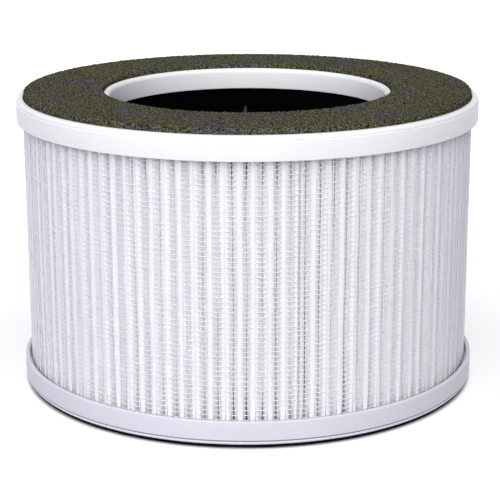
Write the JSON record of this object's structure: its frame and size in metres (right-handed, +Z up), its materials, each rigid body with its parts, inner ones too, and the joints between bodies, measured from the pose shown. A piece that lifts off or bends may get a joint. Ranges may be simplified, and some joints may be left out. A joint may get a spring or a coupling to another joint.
{
  "type": "air purifier filter",
  "caption": "Hollow cylindrical filter cartridge: white pleats behind a fine net, a black carbon sleeve inside, and white end caps that carry dark foam gaskets.",
  "frame": {"origin": "centre of the underside of the bottom gasket, the face that the filter stands on", "axes": "+Z up along the filter's axis, -Y to the front, which is the side that the picture shows"},
  "size_m": [0.19, 0.19, 0.1224],
  "materials": {
    "cap_plastic": "smooth white moulding, satin gloss",
    "foam": "open-cell dark grey foam",
    "glue": "set glue, pale",
    "filter_paper": "matt white fibre",
    "net_plastic": "white extruded thread",
    "carbon_cloth": "matt black",
    "core_plastic": "matt black"
  },
  "bodies": {
    "root": {"top_cap": "cap_plastic", "bottom_cap": "cap_plastic", "top_gasket": "foam", "bottom_gasket": "foam", "top_glue_bed": "glue", "bottom_glue_bed": "glue", "pleated_strip": "filter_paper", "strip_seam_glue": "glue", "outer_net": "net_plastic", "carbon_sleeve": "carbon_cloth", "sleeve_seam_glue": "glue", "inner_core": "core_plastic"}
  },
  "joints": []
}
